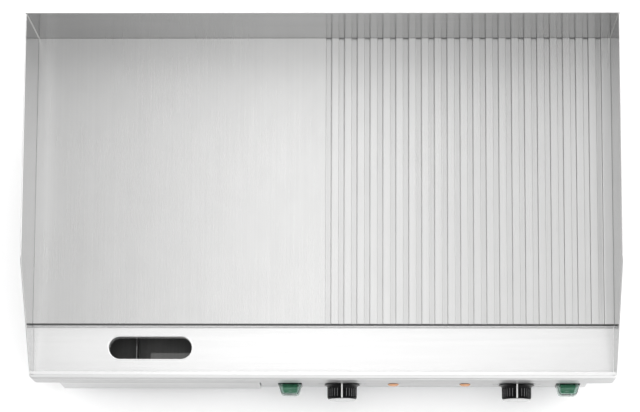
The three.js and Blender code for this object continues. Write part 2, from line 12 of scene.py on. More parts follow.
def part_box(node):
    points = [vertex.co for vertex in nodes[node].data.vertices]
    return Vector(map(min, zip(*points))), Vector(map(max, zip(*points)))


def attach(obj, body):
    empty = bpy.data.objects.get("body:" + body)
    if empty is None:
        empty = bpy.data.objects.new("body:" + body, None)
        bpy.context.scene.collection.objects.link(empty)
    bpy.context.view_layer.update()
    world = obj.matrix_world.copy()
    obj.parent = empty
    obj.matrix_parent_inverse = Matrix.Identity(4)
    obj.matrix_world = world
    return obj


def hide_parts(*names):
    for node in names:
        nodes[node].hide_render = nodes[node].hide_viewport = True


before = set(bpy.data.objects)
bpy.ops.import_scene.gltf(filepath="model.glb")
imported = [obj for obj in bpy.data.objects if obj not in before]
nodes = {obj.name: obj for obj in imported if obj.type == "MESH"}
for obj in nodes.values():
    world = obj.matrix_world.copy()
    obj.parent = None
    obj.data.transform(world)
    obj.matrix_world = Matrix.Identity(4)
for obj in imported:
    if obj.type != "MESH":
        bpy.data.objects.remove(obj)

scene = bpy.context.scene
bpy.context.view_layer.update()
MM = 0.001
SIDES = ("left", "right")
SIGN = {"left": -1, "right": 1}


def box_mm(node):
    low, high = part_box(node)
    return low / MM, high / MM


def rear_middle(node):
    """The middle of the rear face of a CAD node's box."""
    low, high = box_mm(node)
    return Vector(((low.x + high.x) / 2, high.y, (low.z + high.z) / 2))


plate_low, plate_high = box_mm("griddle_plate")
trough_low, trough_high = box_mm("grease_trough")
back_low, back_high = box_mm("splash_back")
PANEL_FRONT = box_mm("control_panel")[0].y
REAR_FACE = box_mm("rear_panel")[1].y

# ---- Camera, stage and lights ----------------------------------------------------------------

CAMERA_PLACE = (0.0743, -0.6187, 3.6523)
CAMERA_TURN = (10.098, 1.231, 0.238)  # degrees
CAMERA_LENS = 159.9  # for a sensor 36 mm wide

FLOOR_HALF = 14.0
FLOOR_FADE = (0.43, 0.98)  # distance from the middle, where the paper starts and ends its fade
FLOOR_TONES = (0.9, 0.45)
FLOOR_GLOW = 0.16

OVERHEAD = {"place": (0.0, -0.3, 4.6), "target": (0, -0.1, 0), "size": (3.4, 3.4), "power": 45}
SPOT_TARGET = Vector((-0.218, -0.1675, 0.098))
SPOT_WAY = Vector((-0.45, 0.17, 0.87)).normalized()
SPOT_DISTANCE = 4.0
SPOT_POWER = 900.0
SPOT_ANGLE = math.radians(2.6)

# The sky's brightness is the product of two profiles. Each is a row of (slope, level), where the slope is
# the sideways travel for each metre up.
SKY_REACH = 1.0
SKY_PEAK = 1.7  # the level that a ramp's white stands for
SKY_LOWEST = 0.02  # the least height used, so the slope stays finite below the horizon
SKY_ACROSS = [
    (-1.0, 1.0), (-0.45, 0.85), (-0.3, 0.62), (-0.2, 0.54), (-0.14, 0.56), (-0.11, 0.68), (-0.08, 0.9),
    (-0.05, 1.2), (-0.025, 1.5), (-0.01, 1.35), (0.005, 1.05), (0.03, 0.88), (0.06, 0.8), (0.085, 0.76),
    (0.11, 0.74), (0.15, 1.0), (0.25, 1.0), (1.0, 1.0),
]
SKY_DEEP = [
    (-1.0, 0.6), (-0.6, 0.95), (-0.4, 1.0), (-0.3, 0.82), (-0.22, 0.86), (-0.17, 1.12), (-0.12, 1.4),
    (-0.05, 1.5), (0.03, 1.42), (0.1, 1.15), (0.18, 1.02), (0.28, 1.0), (1.0, 1.0),
]


def make_camera():
    """Almost overhead, a little in front and to the right of the middle."""
    data = bpy.data.cameras.new("view")
    camera = bpy.data.objects.new("view", data)
    scene.collection.objects.link(camera)
    data.lens = CAMERA_LENS
    data.sensor_width = 36.0
    camera.location = CAMERA_PLACE
    camera.rotation_euler = [math.radians(angle) for angle in CAMERA_TURN]
    data.clip_start = 0.1
    scene.camera = camera


def make_floor():
    """White paper that fades to light grey away from the object."""
    mesh = bpy.data.meshes.new("floor")
    half = FLOOR_HALF
    corners = [(-half, -half, 0), (half, -half, 0), (half, half, 0), (-half, half, 0)]
    mesh.from_pydata(corners, [], [(0, 1, 2, 3)])
    floor = bpy.data.objects.new("floor", mesh)
    scene.collection.objects.link(floor)
    material = bpy.data.materials.new("floor_paper")
    material.use_nodes = True
    tree = material.node_tree
    shader = tree.nodes["Principled BSDF"]
    where = tree.nodes.new("ShaderNodeTexCoord")
    reach = tree.nodes.new("ShaderNodeVectorMath")
    reach.operation = "LENGTH"
    fade = tree.nodes.new("ShaderNodeMapRange")
    fade.interpolation_type = "SMOOTHSTEP"
    fade.inputs["From Min"].default_value, fade.inputs["From Max"].default_value = FLOOR_FADE
    fade.inputs["To Min"].default_value, fade.inputs["To Max"].default_value = FLOOR_TONES
    tone = tree.nodes.new("ShaderNodeCombineColor")
    tree.links.new(where.outputs["Object"], reach.inputs[0])
    tree.links.new(reach.outputs["Value"], fade.inputs["Value"])
    for channel in ("Red", "Green", "Blue"):
        tree.links.new(fade.outputs["Result"], tone.inputs[channel])
    tree.links.new(tone.outputs["Color"], shader.inputs["Base Color"])
    tree.links.new(tone.outputs["Color"], shader.inputs["Emission Color"])
    shader.inputs["Roughness"].default_value = 0.9
    shader.inputs["Specular IOR Level"].default_value = 0.0
    shader.inputs["Emission Strength"].default_value = FLOOR_GLOW
    mesh.materials.append(material)


def add_light(data, place, target):
    """Hangs a light at place, turned to target, where no glossy surface mirrors it."""
    light = bpy.data.objects.new(data.name, data)
    scene.collection.objects.link(light)
    light.location = place
    light.rotation_euler = (Vector(target) - Vector(place)).to_track_quat("-Z", "Y").to_euler()
    light.visible_glossy = False
    return light


def make_overhead():
    data = bpy.data.lights.new("overhead", "AREA")
    data.shape = "RECTANGLE"
    data.size, data.size_y = OVERHEAD["size"]
    data.energy = OVERHEAD["power"]
    add_light(data, OVERHEAD["place"], OVERHEAD["target"])


def make_drain_spot():
    """A narrow beam from the upper left, through the drain, that lights only the drawer's inside."""
    lit = bpy.data.collections.new("drain_spot_lights")
    for node in ("drawer_tray", "drawer_baffle"):
        lit.objects.link(nodes[node])
    data = bpy.data.lights.new("drain_spot", "SPOT")
    data.energy = SPOT_POWER
    data.spot_size = SPOT_ANGLE
    data.spot_blend = 0.3
    data.shadow_soft_size = 0.05
    light = add_light(data, SPOT_TARGET + SPOT_WAY * SPOT_DISTANCE, SPOT_TARGET)
    light.light_linking.receiver_collection = lit


def sky_profile(tree, top, bottom, stops):
    """Brightness against the slope of a direction: top over bottom, both parts of its vector."""
    slope = tree.nodes.new("ShaderNodeMath")
    slope.operation = "DIVIDE"
    tree.links.new(top, slope.inputs[0])
    tree.links.new(bottom, slope.inputs[1])
    share = tree.nodes.new("ShaderNodeMapRange")
    share.inputs["From Min"].default_value = -SKY_REACH
    share.inputs["From Max"].default_value = SKY_REACH
    tree.links.new(slope.outputs[0], share.inputs["Value"])
    ramp = tree.nodes.new("ShaderNodeValToRGB")
    elements = ramp.color_ramp.elements
    ends = {stops[0]: elements[0], stops[-1]: elements[1]}
    for stop in stops:
        at, level = stop
        element = ends[stop] if stop in ends else elements.new((at + SKY_REACH) / (2 * SKY_REACH))
        element.color = (level / SKY_PEAK,) * 3 + (1,)
    tree.links.new(share.outputs["Result"], ramp.inputs["Fac"])
    return ramp.outputs["Color"]


def make_sky():
    """A white studio, brighter and darker by the two profiles, as softboxes and gaps between them are."""
    world = bpy.data.worlds.new("studio")
    world.use_nodes = True
    tree = world.node_tree
    background = tree.nodes["Background"]
    where = tree.nodes.new("ShaderNodeTexCoord")
    parts = tree.nodes.new("ShaderNodeSeparateXYZ")
    tree.links.new(where.outputs["Generated"], parts.inputs[0])
    height = tree.nodes.new("ShaderNodeMath")
    height.operation = "MAXIMUM"
    height.inputs[1].default_value = SKY_LOWEST
    tree.links.new(parts.outputs["Z"], height.inputs[0])
    across = sky_profile(tree, parts.outputs["X"], height.outputs[0], SKY_ACROSS)
    deep = sky_profile(tree, parts.outputs["Y"], height.outputs[0], SKY_DEEP)
    both = tree.nodes.new("ShaderNodeMix")
    both.data_type = "RGBA"
    both.blend_type = "MULTIPLY"
    both.inputs["Factor"].default_value = 1.0
    tree.links.new(across, both.inputs["A"])
    tree.links.new(deep, both.inputs["B"])
    tree.links.new(both.outputs["Result"], background.inputs["Color"])
    background.inputs["Strength"].default_value = SKY_PEAK * SKY_PEAK
    scene.world = world


make_camera()
make_floor()
make_sky()
make_overhead()
make_drain_spot()
scene.view_settings.view_transform = "Standard"

# ---- Materials -------------------------------------------------------------------------------


class Recipe:
    """A material's node tree, with short calls for the nodes that most materials share."""

    def __init__(self, name):
        self.material = bpy.data.materials.new(name)
        self.material.use_nodes = True
        self.tree = self.material.node_tree
        self.shader = self.tree.nodes["Principled BSDF"]

    def node(self, kind):
        return self.tree.nodes.new(kind)

    def link(self, source, target):
        self.tree.links.new(source, target)

    def place(self, scale):
        """The point on the object, in metres, stretched by scale."""
        where = self.node("ShaderNodeTexCoord")
        mapping = self.node("ShaderNodeMapping")
        mapping.inputs["Scale"].default_value = scale
        self.link(where.outputs["Object"], mapping.inputs["Vector"])
        return mapping.outputs["Vector"]

    def noise(self, scale, detail=3.0, rough=0.55):
        """Noise from about 0.3 to 0.7. scale gives its cells in a metre along x, y and z."""
        made = self.node("ShaderNodeTexNoise")
        made.inputs["Scale"].default_value = 1.0
        made.inputs["Detail"].default_value = detail
        made.inputs["Roughness"].default_value = rough
        self.link(self.place(scale), made.inputs["Vector"])
        return made.outputs["Fac"]

    def ramp(self, value, low, high, colour_low, colour_high):
        """colour_low where value is low or less, colour_high where it is high or more."""
        made = self.node("ShaderNodeValToRGB")
        made.color_ramp.elements[0].position = low
        made.color_ramp.elements[1].position = high
        made.color_ramp.elements[0].color = (*colour_low, 1)
        made.color_ramp.elements[1].color = (*colour_high, 1)
        self.link(value, made.inputs["Fac"])
        return made.outputs["Color"]

    def spread(self, value, low, high):
        """low to high, as a noise value runs over its usual range."""
        made = self.node("ShaderNodeMapRange")
        made.inputs["From Min"].default_value = NOISE_LOW
        made.inputs["From Max"].default_value = NOISE_HIGH
        made.inputs["To Min"].default_value = low
        made.inputs["To Max"].default_value = high
        self.link(value, made.inputs["Value"])
        return made.outputs["Result"]

    def blend(self, first, second, share):
        """first times (1 - share) plus second times share."""
        made = self.node("ShaderNodeMix")
        made.inputs["Factor"].default_value = share
        self.link(first, made.inputs["A"])
        self.link(second, made.inputs["B"])
        return made.outputs["Result"]

    def bump(self, height, depth):
        """A normal from a height of 0 to 1 that stands for 0 to depth millimetres."""
        made = self.node("ShaderNodeBump")
        made.inputs["Distance"].default_value = depth * MM
        self.link(height, made.inputs["Height"])
        return made.outputs["Normal"]

    def set(self, **sockets):
        """Constants by socket name, with spaces written as underscores."""
        for key, value in sockets.items():
            self.shader.inputs[key.replace("_", " ")].default_value = value

    def drive(self, **sources):
        """Links to sockets, named in the same way."""
        for key, source in sources.items():
            self.link(source, self.shader.inputs[key.replace("_", " ")])


NOISE_LOW, NOISE_HIGH = 0.3, 0.7

# Cells in a metre along x, y and z. Sheet grain has one table entry for each axis it can run along.
GRAIN = {"x": (14, 1500, 1500), "y": (1500, 14, 1500), "z": (1500, 1500, 14)}
STREAK = {"x": (5, 190, 190), "y": (190, 5, 190), "z": (190, 190, 5)}
CLOUD = (7, 7, 7)
PLATE_SCRATCH = (420, 3.2, 420)
PLATE_MOTTLE = (38, 26, 38)
PLATE_CLOUD = (5, 4, 5)
TRAY_SCRATCH = (260, 8, 260)
TRAY_STAIN = (30, 22, 30)
METAL_GRAIN = (900, 900, 900)
METAL_CLOUD = (120, 120, 120)
PLASTIC_CLOUD = (90, 90, 90)
CLEAR_CLOUD = (160, 160, 160)

PLATE_STRETCH = 0.95  # how far the ground plate draws its highlights out along one way
STEEL_EDGE = 0.8  # steel reflects a little less just short of grazing


def tinted(colour, share):
    """The colour made lighter by a share of itself, or darker where share is below zero."""
    return tuple(min(1.0, channel * (1 + share)) for channel in colour)


def brushed(name, grain, colour, rough, depth=0.006, tint=0.05, edge=STEEL_EDGE, metal=1.0):
    """Sheet steel with its grain along one axis: fine lines, wider streaks and faint clouding.

    depth is how deep the lines are, in mm, tint how far the colour varies, and edge how much is reflected
    near grazing.
    """
    recipe = Recipe(name)
    fine = recipe.noise(GRAIN[grain], 2.0)
    streak = recipe.noise(STREAK[grain])
    cloud = recipe.noise(CLOUD, 2.0)
    mixed = recipe.blend(streak, cloud, 0.4)
    recipe.drive(Base_Color=recipe.ramp(mixed, 0.35, 0.65, tinted(colour, -tint), tinted(colour, tint)))
    recipe.drive(Roughness=recipe.spread(recipe.blend(fine, cloud, 0.35), rough * 0.85, rough * 1.2))
    recipe.drive(Normal=recipe.bump(fine, depth))
    recipe.set(Metallic=metal, Specular_Tint=(edge, edge, edge, 1))
    return recipe.material


def ground_plate(name, colour, rough):
    """Thick plate, ground from front to rear: fine lines, longer scratches, a slight mottle and clouding."""
    recipe = Recipe(name)
    fine = recipe.noise(GRAIN["y"], 2.0)
    scratch = recipe.noise(PLATE_SCRATCH, 1.0)
    mottle = recipe.noise(PLATE_MOTTLE, 4.0, 0.6)
    cloud = recipe.noise(PLATE_CLOUD, 2.0)
    tone = recipe.blend(recipe.blend(mottle, cloud, 0.55), scratch, 0.25)
    recipe.drive(Base_Color=recipe.ramp(tone, 0.32, 0.68, tinted(colour, -0.045), tinted(colour, 0.045)))
    recipe.drive(Roughness=recipe.spread(recipe.blend(fine, cloud, 0.6), rough * 0.92, rough * 1.1))
    recipe.drive(Normal=recipe.bump(fine, 0.003))
    recipe.set(Metallic=1.0, Anisotropic=PLATE_STRETCH)
    along = recipe.node("ShaderNodeCombineXYZ")  # the highlight's way: from front to rear
    along.inputs["Y"].default_value = 1.0
    recipe.drive(Tangent=along.outputs["Vector"])
    return recipe.material


def worn_shaded_tray(name, colour, rough):
    """Drawer steel dulled by grease and washing: no mirror shine, cloudy and lightly scratched. The very dark
    colour it is given is painted shade for the inside of the drawer.
    """
    recipe = Recipe(name)
    scratch = recipe.noise(TRAY_SCRATCH, 2.0)
    stain = recipe.noise(TRAY_STAIN, 4.0, 0.6)
    tone = recipe.blend(scratch, stain, 0.6)
    recipe.drive(Base_Color=recipe.ramp(tone, 0.3, 0.7, tinted(colour, -0.2), tinted(colour, 0.2)))
    recipe.drive(Roughness=recipe.spread(stain, rough * 0.8, rough * 1.2))
    recipe.drive(Normal=recipe.bump(scratch, 0.01))
    recipe.set(Metallic=0.2, Specular_IOR_Level=0.3)
    return recipe.material


def grained_metal(name, colour, rough):
    """Small metal parts: a fine even grain and faint clouding."""
    recipe = Recipe(name)
    fine = recipe.noise(METAL_GRAIN, 2.0)
    cloud = recipe.noise(METAL_CLOUD, 3.0)
    recipe.drive(Base_Color=recipe.ramp(cloud, 0.3, 0.7, tinted(colour, -0.06), tinted(colour, 0.05)))
    recipe.drive(Roughness=recipe.spread(fine, rough * 0.8, rough * 1.2))
    recipe.drive(Normal=recipe.bump(fine, 0.008))
    recipe.set(Metallic=1.0)
    return recipe.material


def plastic(name, colour, rough, grain_scale=900, depth=0.008, shine=0.5):
    """Moulded plastic: fine grain, faint clouding and a slightly uneven gloss."""
    recipe = Recipe(name)
    grain = recipe.noise((grain_scale,) * 3, 2.0)
    cloud = recipe.noise(PLASTIC_CLOUD, 3.0)
    tone = recipe.blend(grain, cloud, 0.6)
    recipe.drive(Base_Color=recipe.ramp(tone, 0.3, 0.7, tinted(colour, -0.18), colour))
    recipe.drive(Roughness=recipe.spread(cloud, rough * 0.8, rough * 1.25))
    recipe.drive(Normal=recipe.bump(grain, depth))
    recipe.set(Specular_IOR_Level=shine)
    return recipe.material


def clear_plastic(name, colour, rough, bend):
    """Soft clear plastic, slightly cloudy. bend is its index of refraction."""
    recipe = Recipe(name)
    cloud = recipe.noise(CLEAR_CLOUD, 2.0)
    recipe.drive(Base_Color=recipe.ramp(cloud, 0.3, 0.7, tinted(colour, -0.05), colour))
    recipe.drive(Roughness=recipe.spread(cloud, rough * 0.8, rough * 1.3))
    recipe.set(Transmission_Weight=1.0, IOR=bend)
    return recipe.material


GROUND = ground_plate("ground_steel", (0.68, 0.68, 0.676), 0.28)
SHEET_X = brushed("sheet_grain_across", "x", (0.58, 0.58, 0.58), 0.14)
SHEET_Y = brushed("sheet_grain_deep", "y", (0.85, 0.85, 0.85), 0.16)
TROUGH = brushed("trough_sheet", "x", (0.855, 0.855, 0.855), 0.18, tint=0.02, edge=0.95, metal=0.75)
FLANGE = brushed("front_sheet", "x", (0.78, 0.78, 0.78), 0.31, edge=0.6)
SEAM = brushed("dull_weld", "z", (0.3, 0.3, 0.3), 0.45)
BODY_X = brushed("body_grain_across", "x", (0.72, 0.72, 0.72), 0.32)
BODY_Y = brushed("body_grain_deep", "y", (0.6, 0.6, 0.6), 0.3)
# painted shade: the drawer steel gets a near-black colour that stands for the shade inside the drawer; its
# stains and scratches are real wear
SHADED_TRAY = worn_shaded_tray("tray_sheet_painted_shade", (0.085, 0.085, 0.084), 0.42)
WELD = brushed("polished_weld", "z", (0.78, 0.78, 0.77), 0.25, depth=0.02)
ZINC = brushed("zinc_plate", "x", (0.55, 0.57, 0.59), 0.4)
SCREW = grained_metal("screw_steel", (0.66, 0.66, 0.66), 0.25)
BLACK = plastic("black_plastic", (0.004, 0.004, 0.0045), 0.2, shine=0.15)
# painted highlight: the ridges' lighter grey stands for the stripes of reflected light on the black flutes;
# their higher gloss is real
HIGHLIGHT_RIDGE = plastic("painted_highlight_black_plastic", (0.2, 0.2, 0.205), 0.25, shine=0.6)
GREEN = plastic("green_plastic", (0.12, 0.36, 0.23), 0.3)
ORANGE = plastic("orange_lens", (0.78, 0.40, 0.21), 0.22, 500)
WHITE = plastic("white_inlay", (0.86, 0.86, 0.85), 0.35)
INK = plastic("dark_ink", (0.03, 0.03, 0.032), 0.5)
# painted shade: a dark strip that stands for the shadow in the gap before the plate's front edge
GAP_SHADE = plastic("painted_gap_shade", (0.08, 0.08, 0.081), 0.55)
RUBBER = plastic("foot_rubber", (0.02, 0.02, 0.021), 0.7, 600, 0.03)
CERAMIC = plastic("ceramic", (0.75, 0.72, 0.66), 0.5)
BOARD = plastic("mineral_board", (0.6, 0.53, 0.42), 0.9, 400, 0.1)
SHEATH = grained_metal("heater_sheath", (0.25, 0.2, 0.17), 0.5)
BRASS = grained_metal("brass", (0.72, 0.55, 0.28), 0.3)
COPPER = grained_metal("copper", (0.7, 0.38, 0.24), 0.3)
CAP = grained_metal("satin_cap", (0.66, 0.66, 0.66), 0.28)
CLEAR = clear_plastic("clear_cover", (0.56, 0.68, 0.63), 0.1, 1.12)

FINISH = {  # the material of each CAD node that keeps its own mesh, by the start of its name
    "side_panel": BODY_Y,
    "rear_panel": BODY_X,
    "control_panel": BODY_X,
    "drawer_front": BODY_X,
    "drawer_tray": SHADED_TRAY,
    "drawer_baffle": SHADED_TRAY,
    "base_pan": ZINC,
    "divider_wall": ZINC,
    "heat_shield": ZINC,
    "drawer_rail": ZINC,
    "insulation_board": BOARD,
    "heating_element": SHEATH,
    "heater_clamp": ZINC,
    "thermostat_body": CERAMIC,
    "thermostat_probe": COPPER,
    "thermostat_shaft": ZINC,
    "switch_housing": BLACK,
    "lamp_body": BLACK,
    "terminal_block": CERAMIC,
    "safety_cutout": CERAMIC,
    "gland_locknut": BLACK,
    "earth_stud": BRASS,
    "foot_nut": ZINC,
}

# ---- Mesh helpers ----------------------------------------------------------------------------

AXES = {  # for each way a part can face: across, up and along
    "front": (Vector((1, 0, 0)), Vector((0, 0, 1)), Vector((0, -1, 0))),
    "rear": (Vector((1, 0, 0)), Vector((0, 0, 1)), Vector((0, 1, 0))),
    "left": (Vector((0, 1, 0)), Vector((0, 0, 1)), Vector((-1, 0, 0))),
    "right": (Vector((0, 1, 0)), Vector((0, 0, 1)), Vector((1, 0, 0))),
    "up": (Vector((1, 0, 0)), Vector((0, 1, 0)), Vector((0, 0, 1))),
}


class Shape:
    """A mesh being built in millimetres, from rings of points that are joined into closed skins."""

    def __init__(self):
        self.mesh = bmesh.new()

    def join(self, first, second):
        """Joins two rings. A ring of one point is a pole."""
        count = max(len(first), len(second))
        for i in range(count):
            k = (i + 1) % count
            near = [first[i % len(first)], first[k % len(first)]]
            far = [second[k % len(second)], second[i % len(second)]]
            self.mesh.faces.new(list(dict.fromkeys(near + far)))

    def loft(self, rings, wrap=False):
        """Skins a row of rings. The ends are filled, or joined to each other with wrap."""
        made = [[self.mesh.verts.new(point) for point in points] for points in rings]
        for first, second in zip(made, made[1:]):
            self.join(first, second)
        if wrap:
            self.join(made[-1], made[0])
            return
        for end in (made[0], made[-1]):
            if len(end) > 2:
                self.mesh.faces.new(end)

    def turned(self, centre, axis, profile, steps, radius_at=None, wrap=False):
        """Revolves (radius, forward) pairs round an axis through centre. Radius 0 makes a pole.

        radius_at changes the radius at each turn, and wrap joins the profile's ends, as for a tube.
        """
        across, up, along = AXES[axis]
        rings = []
        for radius, forward in profile:
            middle = Vector(centre) + along * forward
            ring = []
            for i in range(steps if radius > 0 else 1):
                turn = 2 * math.pi * i / steps
                reach = radius_at(radius, forward, turn) if radius_at else radius
                ring.append(middle + across * (reach * math.sin(turn)) + up * (reach * math.cos(turn)))
            rings.append(ring)
        self.loft(rings, wrap)

    def prism(self, outline, place, low, high):
        """Extrudes a flat outline: place turns (u, v, w) into a point, and w runs from low to high."""
        self.loft([[place(u, v, low) for u, v in outline], [place(u, v, high) for u, v in outline]])

    def mesh_data(self, name):
        """The finished mesh, in metres. The shape can't be used after this."""
        bmesh.ops.recalc_face_normals(self.mesh, faces=self.mesh.faces)
        data = bpy.data.meshes.new(name)
        self.mesh.to_mesh(data)
        self.mesh.free()
        data.transform(Matrix.Scale(MM, 4))
        return data


# Ways to place a prism's outline: each turns (u, v, w) into a point, with w along the named axis.
def along_x(u, v, w):
    return Vector((w, u, v))


def along_y(u, v, w):
    return Vector((u, w, v))


def along_z(u, v, w):
    return Vector((u, v, w))


def rounded(corners, radii, steps=6):
    """An outline with its corners turned into arcs. radii gives one radius for each corner."""
    points = []
    for i, corner in enumerate(corners):
        here = Vector(corner)
        before = (Vector(corners[i - 1]) - here).normalized()
        after = (Vector(corners[(i + 1) % len(corners)]) - here).normalized()
        if radii[i] <= 0:
            points.append(tuple(here))
            continue
        half = math.acos(max(-1.0, min(1.0, before.dot(after)))) / 2
        centre = here + (before + after).normalized() * (radii[i] / math.sin(half))
        start = here + before * (radii[i] / math.tan(half)) - centre
        sweep = math.pi - 2 * half
        if before.x * after.y - before.y * after.x > 0:
            sweep = -sweep
        for k in range(steps + 1):
            arm = start.copy()
            arm.rotate(Matrix.Rotation(sweep * k / steps, 2))
            points.append(tuple(centre + arm))
    return points


def rounded_box(cu, cv, width, height, radius, steps=6):
    """The outline of a box with round corners, centred on (cu, cv)."""
    u, v = width / 2, height / 2
    corners = [(cu + u, cv + v), (cu - u, cv + v), (cu - u, cv - v), (cu + u, cv - v)]
    return rounded(corners, [radius] * 4, steps)


SMOOTH_ANGLE = math.radians(38)


def piece(name, skin, material, body, stands_for=(), bevel=0.0, bevel_steps=3, flat=False):
    """Puts a Shape or a finished mesh into the scene as a piece that rides on a CAD body.

    stands_for names the CAD nodes it replaces, bevel rounds its edges, and flat keeps its large faces flat.
    """
    data = skin.mesh_data(name) if isinstance(skin, Shape) else skin
    obj = bpy.data.objects.new(name, data)
    scene.collection.objects.link(obj)
    data.materials.append(material)
    data.shade_smooth()
    if bevel:
        edges = obj.modifiers.new("edges", "BEVEL")
        edges.width = bevel * MM
        edges.segments = bevel_steps
        edges.limit_method = "ANGLE"
        edges.angle_limit = SMOOTH_ANGLE
    else:
        data.set_sharp_from_angle(angle=SMOOTH_ANGLE)
    if flat:
        normals = obj.modifiers.new("normals", "WEIGHTED_NORMAL")
        normals.keep_sharp = True
        normals.weight = 100
    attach(obj, body)
    if stands_for:
        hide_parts(*stands_for)


def cut_out(base, tool):
    """The mesh of base without the room that tool fills."""
    made = []
    for data in (base, tool):
        obj = bpy.data.objects.new(data.name, data)
        scene.collection.objects.link(obj)
        made.append(obj)
    step = made[0].modifiers.new("step", "BOOLEAN")
    step.object = made[1]
    step.operation = "DIFFERENCE"
    step.solver = "EXACT"
    shown = made[0].evaluated_get(bpy.context.evaluated_depsgraph_get())
    result = bpy.data.meshes.new_from_object(shown)
    for obj in made:
        bpy.data.objects.remove(obj)
    return result


# ---- Cooking plate -----------------------------------------------------------------------------

GROOVE_COUNT = 22
GROOVE_PITCH = 16.34
GROOVE_WIDTH = 7.2
GROOVE_DEPTH = 3.4
GROOVE_FLANK = 0.25  # how far each wall leans
GROOVE_TILT = 0.055  # the cutter leaned a little, so each floor falls towards the right
GROOVE_RADII = [1.3, 1.2, 0.8, 0.1]  # from the right top edge, over both floor corners, to the left top edge
FIRST_GROOVE_RIGHT = 9.8


def make_plate():
    """One section, smooth on the left and grooved on the right, drawn out from front to rear."""
    left, right = plate_low.x, plate_high.x
    bottom, top = plate_low.z, plate_high.z
    corners = [(left, top), (left, bottom), (right, bottom), (right, top)]
    radii = [0.3, 0.6, 0.6, 0.3]
    for i in reversed(range(GROOVE_COUNT)):
        edge = FIRST_GROOVE_RIGHT + i * GROOVE_PITCH
        far_edge = edge - GROOVE_WIDTH
        floor = top - GROOVE_DEPTH
        corners += [(edge, top), (edge - GROOVE_FLANK, floor - GROOVE_TILT),
                    (far_edge + GROOVE_FLANK, floor + GROOVE_TILT), (far_edge, top)]
        radii += GROOVE_RADII
    shape = Shape()
    shape.prism(rounded(corners, radii), along_y, plate_low.y, plate_high.y)
    piece("cooking_plate", shape, GROUND, "body",
          ["griddle_plate"], bevel=0.35, bevel_steps=2, flat=True)


# ---- Splash guards -----------------------------------------------------------------------------

SLOPE_TOP_Y = -76.0
SLOPE_END_Y = -201.0
SLOPE_RADII = (14, 8)
LIP_TOP = trough_high.z
SEAM_SECTION = [  # outward from the plate's edge, and up from its top
    (-0.3, -1.2), (0.32, -1.2), (0.32, -0.2), (0.1, -0.26), (-0.1, -0.26), (-0.3, -0.2),
]
WELD_LEG = 1.0
WELD_STEP = 0.8
WELD_RIPPLE = 0.08


def make_guards():
    """The upright back sheet and the two side sheets, each with its top edge sloping down at the front."""
    shape = Shape()
    edge = rounded([(back_low.y, back_low.z), (back_high.y, back_low.z), (back_high.y, back_high.z),
                    (back_low.y, back_high.z)], [0.2, 0.2, 0.7, 0.7])
    shape.prism(edge, along_x, back_low.x, back_high.x)
    piece("back_guard", shape, SHEET_X, "body", ["splash_back"], bevel=0.3, flat=True)
    for side in SIDES:
        low, high = box_mm("splash_" + side)
        corners = [(high.y, low.z), (high.y, high.z), (SLOPE_TOP_Y, high.z), (SLOPE_END_Y, LIP_TOP),
                   (low.y, LIP_TOP), (low.y, low.z)]
        shape = Shape()
        shape.prism(rounded(corners, [0, 0, *SLOPE_RADII, 0, 0], 10), along_x, low.x, high.x)
        piece("side_guard_" + side, shape, SHEET_Y, "body",
              ["splash_" + side], bevel=0.45, flat=True)


def make_plate_seam():
    """The dressed weld that closes the gap between the plate and the three guards."""
    left, right, front, rear, top = plate_low.x, plate_high.x, plate_low.y, plate_high.y, plate_high.z
    path = [(left, front, -1, 0), (left, rear, -1, 1), (right, rear, 1, 1), (right, front, 1, 0)]
    shape = Shape()
    shape.loft([[(x + out * u, y + out * v, top + up) for out, up in SEAM_SECTION] for x, y, u, v in path])
    piece("plate_seam", shape, SEAM, "body")


def make_corner_welds():
    """A dressed fillet weld up each rear corner, with the ripple of the bead left in it."""
    bottom, top = plate_high.z + 0.3, back_high.z - 0.4
    count = int((top - bottom) / WELD_STEP)
    for side in SIDES:
        sign = SIGN[side]
        low, high = box_mm("splash_" + side)
        corner_x = low.x if side == "right" else high.x
        corner_y = back_low.y
        rings = []
        for i in range(count + 1):
            leg = WELD_LEG + WELD_RIPPLE * (math.sin(i * 1.7) + math.sin(i * 0.37))
            ring = [(0.3, -0.3), (0.3, leg), (0.0, leg), (-leg * 0.42, leg * 0.42), (-leg, 0.0), (-leg, -0.3)]
            height = bottom + (top - bottom) * i / count
            rings.append([(corner_x + sign * u, corner_y - v, height) for u, v in ring])
        shape = Shape()
        shape.loft(rings)
        piece("corner_weld_" + side, shape, WELD, "body")


# ---- Grease trough -----------------------------------------------------------------------------

SHEET = 1.5
TROUGH_REAR = trough_high.y
TROUGH_END = plate_high.x
TROUGH_RIM = 113.0  # top of the trough's rear wall, beside the plate
LIP_REAR = -201.0
FLOOR_REAR = (TROUGH_REAR - SHEET, 101.787)
FLOOR_FRONT = (LIP_REAR, 92.748)
FLOOR_FALL = (FLOOR_REAR[1] - FLOOR_FRONT[1]) / (FLOOR_REAR[0] - FLOOR_FRONT[0])
UNDER_REAR = 100.5
UNDER_FRONT = 91.0
TROUGH_RADII = [0.4, 1.6, 2.5, 0.9, 0, 0, 0.4, 4.0, 3.1, 0.4]  # of the outlines' corners, in their order
FLANGE_RADII = [0.5, 2.4, 0, 0, 0.9, 0.5]
RIM_WIDTH = 5.5
RIM_CORNER = 6.0
RIM_END = -205.0
DRAIN = {"x": -218.0, "y": -167.5, "length": 104.0, "width": 27.0}
DRAIN_ROLL = 2.4
DRAIN_BEAD = [  # outward from the hole's wall, and down from the trough's floor
    (2.4, 0.0), (2.1, -0.06), (1.8, -0.16), (1.4, -0.22), (1.0, -0.18), (0.65, 0.02), (0.35, 0.35),
    (0.12, 0.85), (0.0, 1.5),
]
COLLAR_END = [(0.0, 0.4), (0.4, 0.0), (1.1, 0.0), (1.5, 0.4)]  # outward, and up from the collar's bottom
COLLAR_BACK = [(1.5, 3.6), (DRAIN_ROLL, SHEET)]  # outward, and down from the trough's floor
CORNER_STEPS = 10


